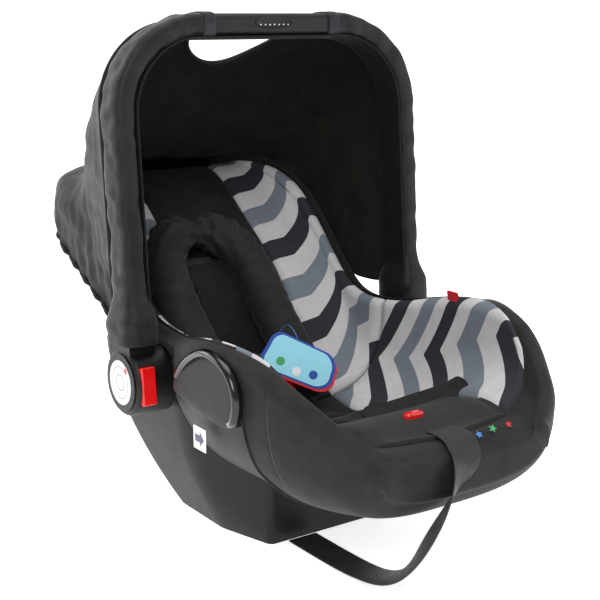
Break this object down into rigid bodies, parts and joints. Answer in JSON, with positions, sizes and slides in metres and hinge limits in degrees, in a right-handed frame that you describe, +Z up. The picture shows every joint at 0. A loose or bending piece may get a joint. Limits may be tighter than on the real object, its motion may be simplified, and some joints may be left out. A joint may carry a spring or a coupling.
{
  "type": "infant car seat",
  "caption": "Infant carrier car seat: padded bucket shell on a flat base, swinging carrying handle with hood, harness and red release buttons.",
  "frame": {"origin": "centre of the footprint, on the floor that the base rests on", "axes": "+Z up, -Y towards the child's feet, +X across to the child's left"},
  "size_m": [0.439, 0.6916, 0.6071],
  "materials": {
    "shell_plastic": "satin black moulded plastic",
    "gloss_plastic": "glossy black moulded plastic",
    "red_plastic": "glossy red moulded plastic",
    "steel": "plated steel",
    "chevron_fabric": "printed chevron weave in off-white, blue-grey and navy",
    "charcoal_fabric": "dark charcoal woven polyester",
    "insert_fabric": "black-grey woven polyester",
    "canopy_fabric": "dark grey woven polyester",
    "foam": "expanded polystyrene",
    "grip_rubber": "soft black rubber",
    "webbing": "glossy black webbing",
    "white_label": "white printed film",
    "red_ribbon": "red woven ribbon",
    "tag_card": "light blue card with a darker border"
  },
  "bodies": {
    "seat": {"shell_tub": "shell_plastic", "rocker_base": "shell_plastic", "base_screws": "steel", "wing_pad_left": "chevron_fabric", "wing_pad_right": "chevron_fabric", "thigh_pad_left": "chevron_fabric", "thigh_pad_right": "chevron_fabric", "back_pad": "charcoal_fabric", "seat_pad": "charcoal_fabric", "foam_liner": "foam", "cover_front": "charcoal_fabric", "cover_side_left": "charcoal_fabric", "cover_side_right": "charcoal_fabric", "body_pad": "insert_fabric", "head_pillow": "insert_fabric", "hub_plate_left": "shell_plastic", "hub_plate_right": "shell_plastic", "pivot_bolt_left": "steel", "pivot_bolt_right": "steel", "lap_belt_guide_left": "gloss_plastic", "lap_belt_guide_right": "gloss_plastic", "rear_belt_guide": "shell_plastic", "shoulder_strap_left": "webbing", "shoulder_strap_right": "webbing", "buckle_body": "gloss_plastic", "tongue_left": "steel", "tongue_right": "steel", "crotch_strap": "webbing", "adjuster_housing": "gloss_plastic", "harness_yoke": "steel", "arrow_label": "white_label", "rim_tag": "red_ribbon", "swing_tag": "tag_card", "adjuster_strap": "webbing", "canopy_hood": "canopy_fabric"},
    "handle": {"handle_arch": "gloss_plastic", "handle_grip": "grip_rubber", "canopy_sleeve_left": "canopy_fabric", "canopy_sleeve_right": "canopy_fabric", "hub_housing_left": "gloss_plastic", "hub_housing_right": "gloss_plastic", "hub_cap_left": "gloss_plastic", "hub_cap_right": "gloss_plastic", "hub_sticker_left": "white_label", "hub_sticker_right": "white_label"},
    "button_left": {"red_button_left": "red_plastic"},
    "button_right": {"red_button_right": "red_plastic"},
    "gear_left": {"lock_gear_left": "gloss_plastic"},
    "gear_right": {"lock_gear_right": "gloss_plastic"},
    "release": {"adjuster_button": "red_plastic"},
    "buckle_press": {"buckle_button": "red_plastic"}
  },
  "joints": [
    {"name": "handle_hinge", "type": "hinge", "parent": "seat", "child": "handle", "pos_m": [0, 0.014, 0.196], "axis": [-1, 0, 0], "range_deg": [0, 108], "deforming": ["canopy_hood"]},
    {"name": "button_left_press", "type": "slide", "parent": "handle", "child": "button_left", "axis": [0, 0.9969, -0.0785], "range_m": [0, 0.004], "stiffness_N_per_m": 600, "springref_m": -0.003},
    {"name": "button_right_press", "type": "slide", "parent": "handle", "child": "button_right", "axis": [0, 0.9969, -0.0785], "range_m": [0, 0.004], "stiffness_N_per_m": 600, "springref_m": -0.003},
    {"name": "gear_left_slide", "type": "slide", "parent": "handle", "child": "gear_left", "axis": [-1, 0, 0], "range_m": [0, 0.004]},
    {"name": "gear_right_slide", "type": "slide", "parent": "handle", "child": "gear_right", "axis": [1, 0, 0], "range_m": [0, 0.004]},
    {"name": "release_press", "type": "slide", "parent": "seat", "child": "release", "axis": [0, 0, -1], "range_m": [0, 0.004], "stiffness_N_per_m": 500, "springref_m": -0.003},
    {"name": "buckle_button_press", "type": "slide", "parent": "seat", "child": "buckle_press", "axis": [0, 0.5592, -0.829], "range_m": [0, 0.004], "stiffness_N_per_m": 900, "springref_m": -0.004}
  ],
  "couplings": [
    {"joint": "gear_left_slide", "follows": "button_left_press", "ratio": 1},
    {"joint": "gear_right_slide", "follows": "button_right_press", "ratio": 1}
  ]
}
